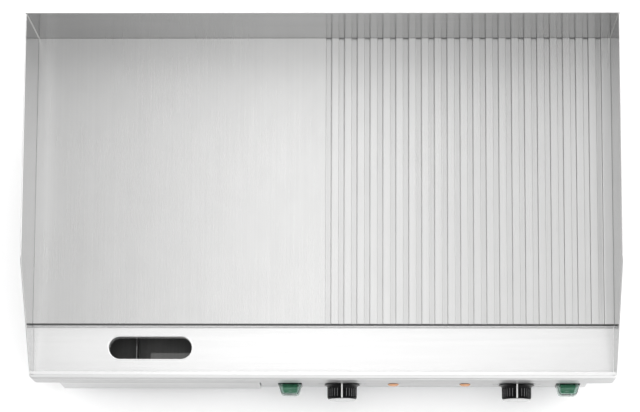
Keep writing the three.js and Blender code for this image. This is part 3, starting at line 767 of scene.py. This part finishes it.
def trough_sheet():
    """The folded sheet, from the wall beside the plate, down the slope and up to the lip."""
    rear, front = TROUGH_REAR, LIP_REAR - SHEET
    top = LIP_TOP
    inner = trough_low.y + RIM_WIDTH - 0.1
    seen = [(rear - SHEET, TROUGH_RIM), FLOOR_REAR, FLOOR_FRONT, (LIP_REAR, top), (inner, top)]
    hidden = [(inner, top - SHEET), (front, top - SHEET), (front, UNDER_FRONT), (rear, UNDER_REAR),
              (rear, TROUGH_RIM)]
    outline = rounded(seen + hidden, TROUGH_RADII, 8)
    shape = Shape()
    shape.prism(outline, along_x, -TROUGH_END, TROUGH_END)
    return shape.mesh_data("grease_channel")


def front_flange():
    """The front flange and the outer part of the lip, swept round the two front corners."""
    half, front = trough_high.x, trough_low.y
    top, flange_bottom = LIP_TOP, back_low.z
    path = [(-half, RIM_END, -1, 0)]  # a point on the outside, and the way out from it
    for k in range(CORNER_STEPS + 1):
        turn = math.pi + (math.pi / 2) * k / CORNER_STEPS
        u, v = math.cos(turn), math.sin(turn)
        path.append((-half + RIM_CORNER + RIM_CORNER * u, front + RIM_CORNER + RIM_CORNER * v, u, v))
    path += [(-x, y, -u, v) for x, y, u, v in reversed(path)]
    section = rounded([(0, flange_bottom), (0, top), (RIM_WIDTH, top), (RIM_WIDTH, top - SHEET),
                       (SHEET, top - SHEET), (SHEET, flange_bottom)], FLANGE_RADII, 8)
    shape = Shape()
    shape.loft([[(x - inset * u, y - inset * v, z) for inset, z in section] for x, y, u, v in path])
    return shape


def drain_outline(offset):
    """The drain's long hole with round ends, wider all round by offset."""
    length, width = DRAIN["length"] + 2 * offset, DRAIN["width"] + 2 * offset
    return rounded_box(DRAIN["x"], DRAIN["y"], length, width, width / 2 - 0.001, 20)


def floor_height(y):
    """The height of the trough's sloping floor at y."""
    return FLOOR_REAR[1] + FLOOR_FALL * (y - FLOOR_REAR[0])


def make_trough():
    """The channel with its drain cut out, the flange round its front, and the drain's rolled collar."""
    cutter = Shape()
    cutter.prism(drain_outline(DRAIN_ROLL), along_z, 80.0, 112.0)
    channel = cut_out(trough_sheet(), cutter.mesh_data("drain_cut"))
    piece("grease_channel", channel, TROUGH, "body", ["grease_trough"], flat=True)
    piece("front_flange", front_flange(), FLANGE, "body", flat=True)

    def hung(offset, drop):
        return [(x, y, floor_height(y) - drop) for x, y in drain_outline(offset)]

    rings = [hung(offset, drop) for offset, drop in DRAIN_BEAD]
    for offset, rise in COLLAR_END:
        rings.append([(x, y, trough_low.z + rise) for x, y in drain_outline(offset)])
    rings += [hung(offset, drop) for offset, drop in COLLAR_BACK]
    shape = Shape()
    shape.loft(rings, wrap=True)
    piece("drain_collar", shape, TROUGH, "body")


def make_front_gap_shade():
    """A dark strip in the gap before the plate's front edge, which laps over the trough's rim: painted shade
    that stands for the gap's shadow.
    """
    near, far = plate_low.y + 0.05, TROUGH_REAR - 0.9
    deep = TROUGH_RIM - 6.0
    wall = TROUGH_REAR + 0.05
    shown = [(near, 0.7), (near - 0.8, 0.45), (far + 0.3, 0.35), (far, 0.05), (far, -0.1), (wall, -0.1)]
    outline = [(near, deep)] + [(y, TROUGH_RIM + up) for y, up in shown] + [(wall, deep)]
    shape = Shape()
    shape.prism(outline, along_x, plate_low.x, plate_high.x)
    piece("front_gap_shade", shape, GAP_SHADE, "body")


# ---- Knobs -------------------------------------------------------------------------------------

FLUTES = 30
FLUTE_DEPTH = 1.6
FLUTE_START = 4.6
FLUTE_END = 17.4
KNOB_STEPS = FLUTES * 10
FLUTED_FROM = 17.0  # radius inside which the knob stays round
KNOB_PROFILE = [  # radius, and forward from the panel
    (0, 15.4), (3.3, 15.4), (3.3, 0.3), (3.7, 0), (21.8, 0), (22.3, 0.2), (22.5, 0.6), (22.45, 1.05),
    (22.1, 1.4), (21.0, 1.8), (20.0, 2.3), (19.3, 3.0), (18.9, 3.8), (18.74, 4.7), (18.7, 5.4),
    (18.7, 6.2), (18.68, 9), (18.64, 12), (18.6, 15), (18.55, 16.2), (18.5, 16.9), (18.35, 17.5),
    (18.1, 18.0), (17.7, 18.4), (17.1, 18.62), (16.5, 18.7), (0, 18.7),
]
CAP_PROFILE = [  # radius, and forward from the knob's face
    (0, 0), (17.3, 0), (17.75, 0.12), (17.9, 0.4), (17.85, 0.7), (17.6, 0.95), (17.1, 1.12), (15, 1.42),
    (12, 1.74), (8, 2.02), (4, 2.16), (0, 2.2),
]
RIDGE_SECTION = [(-0.3, -0.25), (0.3, -0.25), (0.22, 0.04), (-0.22, 0.04)]  # sideways, and out from the path
RIDGE_PATH = [(6.2, 18.66), (9, 18.66), (12, 18.63), (15, 18.58), (16.2, 18.54)]  # forward, and radius
RIDGE_CLEAR = 0.99  # cosine of the turn inside which the pointer takes a ridge's place
POINTER_PATH = [  # forward, and radius
    (1.2, 22.2), (1.5, 21.8), (1.85, 20.9), (2.35, 19.9), (3.0, 19.25), (3.8, 18.85), (4.8, 18.7),
    (10, 18.65), (16.4, 18.5), (17.3, 18.4), (17.9, 18.1), (18.35, 17.7), (18.62, 17.1),
]
POINTER_HALF = 0.95
POINTER_RISE = 0.28
POINTER_SUNK = 0.9
POINTER_EDGE = (0.15, 0.12)  # the cut corners, sideways and inward


def fluted(radius, forward, turn):
    """Waves cut into the knob's wall, which run out near its skirt and its face."""
    if radius < FLUTED_FROM or not FLUTE_START < forward < FLUTE_END:
        return radius
    fade = min(1.0, (forward - FLUTE_START) / 1.4, (FLUTE_END - forward) / 1.0)
    return radius - FLUTE_DEPTH * fade * (0.5 + 0.5 * math.cos(FLUTES * turn))


def make_knob(side):
    """The fluted grip, lighter ridges between its flutes as painted highlight stripes, the inlaid pointer and
    the metal disc.
    """
    body = "knob_turn_part_" + side
    centre = rear_middle("knob_" + side)
    shape = Shape()
    shape.turned(centre, "front", KNOB_PROFILE, KNOB_STEPS, fluted)
    piece("knob_grip_" + side, shape, BLACK, body, ["knob_" + side])

    shape = Shape()
    for i in range(FLUTES):
        turn = 2 * math.pi * (i + 0.5) / FLUTES
        if math.cos(turn) > RIDGE_CLEAR:
            continue
        out = Vector((math.sin(turn), 0, math.cos(turn)))
        side_way = Vector((math.cos(turn), 0, -math.sin(turn)))
        shape.loft([[centre + out * (radius + rise) + side_way * w - Vector((0, forward, 0))
                     for w, rise in RIDGE_SECTION] for forward, radius in RIDGE_PATH])
    piece("knob_highlight_ridges_" + side, shape, HIGHLIGHT_RIDGE, body)

    half, rise = POINTER_HALF, POINTER_RISE
    trim, drop = POINTER_EDGE
    section = [(-half, -POINTER_SUNK), (half, -POINTER_SUNK), (half, rise - drop), (half - trim, rise),
               (trim - half, rise), (-half, rise - drop)]
    shape = Shape()
    shape.loft([[(centre.x + u, centre.y - forward, centre.z + radius + v) for u, v in section]
                for forward, radius in POINTER_PATH])
    piece("knob_pointer_" + side, shape, WHITE, body)

    shape = Shape()
    shape.turned((centre.x, rear_middle("knob_cap_" + side).y, centre.z), "front", CAP_PROFILE, 96)
    piece("knob_disc_" + side, shape, CAP, body, ["knob_cap_" + side])


# ---- Dial scales -------------------------------------------------------------------------------

TICK_STEP = 15
TICK_COUNT = 19
TICKS_PER_NUMBER = 3
NUMBER_STEP = 50
TICK_INNER = 23.6
TICK_OUTER = {True: 25.6, False: 24.9}  # for a tick with a number, and for one without
TICK_HALF = {True: 0.28, False: 0.16}
NUMBER_RADIUS = 28.3
NUMBER_HEIGHT = 2.9
INK_DEPTH = 0.08
INK_SUNK = 0.02


def number_mesh(text, at):
    """A number as a thin mesh that stands on the panel, in millimetres."""
    curve = bpy.data.curves.new("number", "FONT")
    curve.body = text
    curve.size = NUMBER_HEIGHT
    curve.align_x = "CENTER"
    curve.align_y = "CENTER"
    curve.extrude = INK_DEPTH
    curve.resolution_u = 3
    obj = bpy.data.objects.new("number", curve)
    scene.collection.objects.link(obj)
    made = bpy.data.meshes.new_from_object(obj.evaluated_get(bpy.context.evaluated_depsgraph_get()))
    bpy.data.objects.remove(obj)
    made.transform(Matrix.Translation(at) @ Matrix.Rotation(math.pi / 2, 4, "X"))
    return made


def make_dial(side):
    """The printed scale round a knob: ticks, and a number at every third one."""
    centre = rear_middle("knob_" + side)
    centre.y = PANEL_FRONT
    shape = Shape()
    for i in range(TICK_COUNT):
        turn = math.radians(i * TICK_STEP)
        numbered = i % TICKS_PER_NUMBER == 0
        out = Vector((math.sin(turn), 0, math.cos(turn)))
        side_way = Vector((out.z, 0, -out.x)) * TICK_HALF[numbered]
        inner, outer = out * TICK_INNER, out * TICK_OUTER[numbered]
        corners = [inner - side_way, outer - side_way, outer + side_way, inner + side_way]
        shape.loft([[centre + corner + Vector((0, depth, 0)) for corner in corners]
                    for depth in (INK_SUNK, -INK_DEPTH)])
        if numbered:
            number = str(NUMBER_STEP * (i // TICKS_PER_NUMBER))
            shape.mesh.from_mesh(number_mesh(number, centre + out * NUMBER_RADIUS))
    piece("dial_scale_" + side, shape, INK, "body")


# ---- Switches ----------------------------------------------------------------------------------

ROCKER_TILT = math.radians(12)
ROCKER_HALF_WIDTH = 9.3
ROCKER_HALF_HEIGHT = 13.0
ROCKER_PIVOT_BEHIND = 0.5
ROCKER_BACK = [(-1, 1.0), (3, 0.5), (3, -0.5), (-1, -1.0)]  # behind the pivot, and share of the half height
ROCKER_RADII = [0.35, 1.0, 1.5, 1.5, 1.0, 0.35]
ROCKER_FRONT = 9.35
HOLLOW_FRONT = 8.0
HOLLOW_DEPTH = 1.8
HOLLOW_HALF = 12.0
HOLLOW_STEPS = 12
MARK_SUNK = 0.1
MARK_RISE = 0.06
BAR_HALF_WIDTH = 0.6
BAR_START = 5.6
BAR_STEP = 0.7
BAR_STEPS = 6
CIRCLE_HEIGHT = -6.5
CIRCLE_SECTION = [  # radius, and depth
    (1.35, -MARK_RISE), (2.15, -MARK_RISE), (2.15, MARK_SUNK), (1.35, MARK_SUNK),
]
CIRCLE_STEPS = 32
COVER_WALL = 1.0
COVER_FULL_WALL = 9.0  # forward of this, the roof is a whole wall thick
COVER_RINGS = [  # distance in front of the housing, width, height and corner radius
    (0.0, 28.8, 34.8, 4.8), (0.9, 28.8, 34.8, 4.8), (1.5, 27.6, 33.8, 4.6), (2.4, 26.9, 33.4, 4.6),
    (5.0, 25.7, 33.0, 4.6), (7.5, 24.4, 32.6, 4.6), (9.2, 23.4, 32.0, 4.6), (10.3, 22.2, 30.8, 4.4),
    (11.1, 20.6, 29.2, 4.0), (11.6, 18.8, 27.4, 3.4), (11.85, 16.8, 25.4, 2.8),
]


def rocker_face(v):
    """Where the hollow face lies behind the pivot, so below zero, at height v from its middle."""
    return -HOLLOW_FRONT - HOLLOW_DEPTH * min(1.0, (v / HOLLOW_HALF) ** 2)


def make_rocker(side):
    """The green paddle with its hollow face, and the bar and circle on it."""
    body = "rocker_part_" + side
    pivot = rear_middle("switch_housing_" + side)
    pivot.x = rear_middle("switch_rocker_" + side).x
    pivot.y = PANEL_FRONT + ROCKER_PIVOT_BEHIND
    tilt = Matrix.Rotation(-ROCKER_TILT, 3, "X")

    def tipped(w, u, v):
        return pivot + tilt @ Vector((w, u, v))

    def on_face(w, v, lift):
        return tipped(w, rocker_face(v) + lift, v)

    half = ROCKER_HALF_HEIGHT
    heights = [2 * HOLLOW_HALF * i / HOLLOW_STEPS - HOLLOW_HALF for i in range(HOLLOW_STEPS + 1)]
    corners = [(-ROCKER_FRONT, half)] + [(u, half * share) for u, share in ROCKER_BACK]
    corners += [(-ROCKER_FRONT, -half)] + [(rocker_face(v), v) for v in heights]
    outline = rounded(corners, ROCKER_RADII + [0] * len(heights), 3)
    shape = Shape()
    shape.loft([[tipped(w, u, v) for u, v in outline] for w in (-ROCKER_HALF_WIDTH, ROCKER_HALF_WIDTH)])
    piece("rocker_paddle_" + side, shape, GREEN, body, ["switch_rocker_" + side],
          bevel=0.45, flat=True)

    shape = Shape()
    for i in range(BAR_STEPS):
        v0, v1 = BAR_START + BAR_STEP * i, BAR_START + BAR_STEP * (i + 1)
        ring = [(-BAR_HALF_WIDTH, v0), (BAR_HALF_WIDTH, v0), (BAR_HALF_WIDTH, v1), (-BAR_HALF_WIDTH, v1)]
        shape.loft([[on_face(w, v, lift) for w, v in ring] for lift in (MARK_SUNK, -MARK_RISE)])
    turns = [2 * math.pi * i / CIRCLE_STEPS for i in range(CIRCLE_STEPS)]
    shape.loft([[on_face(radius * math.sin(turn), CIRCLE_HEIGHT + radius * math.cos(turn), lift)
                 for turn in turns] for radius, lift in CIRCLE_SECTION], wrap=True)
    piece("rocker_marks_" + side, shape, WHITE, body)


def make_cover(side):
    """The clear splash boot over the rocker: an outer skin, and an inner one that it encloses."""
    x, rear, z = rear_middle("switch_cover_" + side)

    def skin(wall):
        rings = []
        for forward, width, height, radius in COVER_RINGS:
            depth = forward - wall * min(1.0, forward / COVER_FULL_WALL)
            outline = rounded_box(x, z, width - 2 * wall, height - 2 * wall, radius - wall * 0.5)
            rings.append([(u, rear - depth, v) for u, v in outline])
        return rings

    shape = Shape()
    shape.loft(skin(COVER_WALL)[::-1] + skin(0))
    piece("switch_boot_" + side, shape, CLEAR, "body", ["switch_cover_" + side])


# ---- Pilot lamps -------------------------------------------------------------------------------

LENS_RIBS = 16
LENS_RIB_DEPTH = 0.1
LENS_PROFILE = [  # radius, and forward from the panel
    (0, 0), (6.5, 0), (6.9, 0.15), (7.0, 0.45), (6.95, 0.75), (6.7, 1.0), (6.3, 1.15), (5.9, 1.4),
    (5.5, 1.75), (4.9, 2.1), (4.1, 2.4), (3.0, 2.62), (1.6, 2.73), (0, 2.76),
]


def ribbed_lens(radius, forward, turn):
    """Faint ribs on the lens's slope."""
    if not 1.2 < forward < 2.5:
        return radius
    return radius - LENS_RIB_DEPTH * (0.5 + 0.5 * math.cos(LENS_RIBS * turn))


def make_lamp(side):
    shape = Shape()
    shape.turned(rear_middle("lamp_lens_" + side), "front", LENS_PROFILE, LENS_RIBS * 6, ribbed_lens)
    piece("pilot_lens_" + side, shape, ORANGE, "body", ["lamp_lens_" + side])


# ---- Feet, cable gland and screws --------------------------------------------------------------

FOOT_KNURLS = 30
KNURL_DEPTH = 0.35
FOOT_HEX = 12.4  # to the corners of the spanner flats, which are cut back to the radius below
FOOT_HEX_LEAST = 10.6
THREAD_FROM = 28.4
THREAD_TO = 49.6
THREAD_PITCH = 1.0
THREAD_RADII = (4.0, 3.6)  # crest and root
STUD_TOP = 50.0
FOOT_PROFILE = [  # radius, and height above the floor
    (0, 0), (13.6, 0), (14.2, 0.3), (14.6, 1.0), (15.8, 1.3), (16.6, 1.9), (17.0, 2.8), (17.0, 3.6),
    (17.0, 8.0), (16.8, 8.8), (16.1, 9.5), (14.8, 11.0), (13.9, 13.5), (13.3, 16.0), (13.0, 17.8),
    (12.9, 18.6), (12.3, 19.2), (12.0, 20.2), (12.0, 26.6), (11.4, 27.5), (4.4, 27.7), (4.0, 28.0),
]
SCREW_PROFILE = [  # radius, and outward from the sheet
    (0, 0), (3.4, 0), (3.5, 0.25), (3.4, 0.8), (3.05, 1.4), (2.5, 1.8), (1.95, 1.95), (1.6, 1.98),
    (1.5, 1.85), (1.5, 0.9), (0, 0.7),
]
SOCKET_PROFILE_RADIUS = 1.5  # the profile's radius that becomes a hexagonal socket
SOCKET_RADIUS = 1.7
SCREW_LOW, SCREW_HIGH = 36.5, 98.0
REAR_SCREWS = (-318, -120, 120, 318)
SIDE_SCREWS = (-190, -60, 70, 185)
GLAND_HEX = 12.0
GLAND_GRIPS = 12
GLAND_GRIP_DEPTH = 0.4


def hexagonal(radius, turn):
    """The reach of a hexagon whose corners lie at radius."""
    off_corner = (turn + math.pi / 6) % (math.pi / 3) - math.pi / 6
    return radius * math.cos(math.pi / 6) / math.cos(math.pi / 6 - abs(off_corner))


def foot_reach(radius, forward, turn):
    """Knurls round the foot's rim, and flats for a spanner near its top."""
    if 3.0 < forward < 8.5 and radius > 16:
        return radius - KNURL_DEPTH * (0.5 + 0.5 * math.cos(FOOT_KNURLS * turn))
    if 19.5 < forward < 27.0 and radius > 11:
        return max(FOOT_HEX_LEAST, min(radius, hexagonal(FOOT_HEX, turn)))
    return radius


def make_feet():
    """Four feet, each a pad and its threaded stud in one mesh."""
    crest, root = THREAD_RADII
    thread = []
    height = THREAD_FROM
    while height < THREAD_TO:
        thread += [(crest, height), (root, height + THREAD_PITCH / 2)]
        height += THREAD_PITCH
    profile = FOOT_PROFILE + thread + [(3.2, STUD_TOP), (0, STUD_TOP)]
    for side in SIDES:
        for place in ("front", "rear"):
            node = "foot_%s_%s" % (place, side)
            low, high = box_mm(node)
            shape = Shape()
            shape.turned(((low.x + high.x) / 2, (low.y + high.y) / 2, low.z), "up", profile, 120, foot_reach)
            name = "levelling_foot_%s_%s" % (place, side)
            piece(name, shape, RUBBER, "foot_part_%s_%s" % (place, side), [node])


def gland_reach(radius, forward, turn):
    """A hexagonal body, and grips round its cap."""
    if 0.2 < forward < 6.2 and radius > 11:
        return min(radius, hexagonal(GLAND_HEX, turn))
    if 7.0 < forward < 15.0 and radius > 9:
        return radius - GLAND_GRIP_DEPTH * (0.5 + 0.5 * math.cos(GLAND_GRIPS * turn))
    return radius


def make_gland():
    """The gland for the cord: a tube through the rear panel, open at both ends."""
    centre = rear_middle("cable_gland")
    centre.y = REAR_FACE
    profile = [  # radius, and outward from the panel, round the tube's wall
        (5.5, -11.6), (7.6, -12.0), (8.0, -11.6), (8.0, 0.3), (11.2, 0.3), (11.9, 0.7), (12.0, 1.1),
        (12.0, 5.0), (11.9, 5.5), (11.2, 6.0), (10.2, 6.1), (10.2, 6.7), (10.9, 7.1), (11.0, 7.8),
        (10.9, 13.0), (10.5, 15.5), (9.7, 18.0), (8.5, 20.2), (7.7, 21.2), (7.0, 21.8), (6.2, 22.0),
        (5.8, 21.6), (5.5, 20.8),
    ]
    shape = Shape()
    shape.turned(centre, "rear", profile, 96, gland_reach, wrap=True)
    piece("gland_body", shape, BLACK, "body", ["cable_gland"])


def screw_reach(radius, forward, turn):
    return hexagonal(SOCKET_RADIUS, turn) if radius == SOCKET_PROFILE_RADIUS else radius


def make_screws():
    """Domed socket screws along the rear and side sheets."""
    left, right = box_mm("side_panel_left")[0].x, box_mm("side_panel_right")[1].x
    groups = {
        "rear": [((x, REAR_FACE, z), "rear") for x in REAR_SCREWS for z in (SCREW_LOW, SCREW_HIGH)],
        "left": [((left, y, SCREW_LOW), "left") for y in SIDE_SCREWS],
        "right": [((right, y, SCREW_LOW), "right") for y in SIDE_SCREWS],
    }
    for group, spots in groups.items():
        shape = Shape()
        for spot, axis in spots:
            shape.turned(spot, axis, SCREW_PROFILE, 48, screw_reach)
        piece("panel_screws_" + group, shape, SCREW, "body")


# ---- Assembly ----------------------------------------------------------------------------------

MERGE_DISTANCE = 0.02 * MM
NODE_BEVEL = 0.25 * MM
NODE_BEVEL_ANGLE = math.radians(35)


def dress(name, node):
    """Gives a CAD node its material, and softens its edges."""
    best = max((key for key in FINISH if name.startswith(key)), key=len)
    node.data.materials.clear()
    node.data.materials.append(FINISH[best])
    weld = node.modifiers.new("weld", "WELD")
    weld.merge_threshold = MERGE_DISTANCE
    bevel = node.modifiers.new("edges", "BEVEL")
    bevel.width = NODE_BEVEL
    bevel.segments = 2
    bevel.limit_method = "ANGLE"
    bevel.angle_limit = NODE_BEVEL_ANGLE
    bevel.use_clamp_overlap = True


make_plate()
make_guards()
make_plate_seam()
make_front_gap_shade()
make_corner_welds()
make_trough()
for side_name in SIDES:
    make_knob(side_name)
    make_dial(side_name)
    make_rocker(side_name)
    make_cover(side_name)
    make_lamp(side_name)
make_feet()
make_gland()
make_screws()

for node_name, cad_node in nodes.items():
    if any(node_name.startswith(key) for key in FINISH):
        dress(node_name, cad_node)
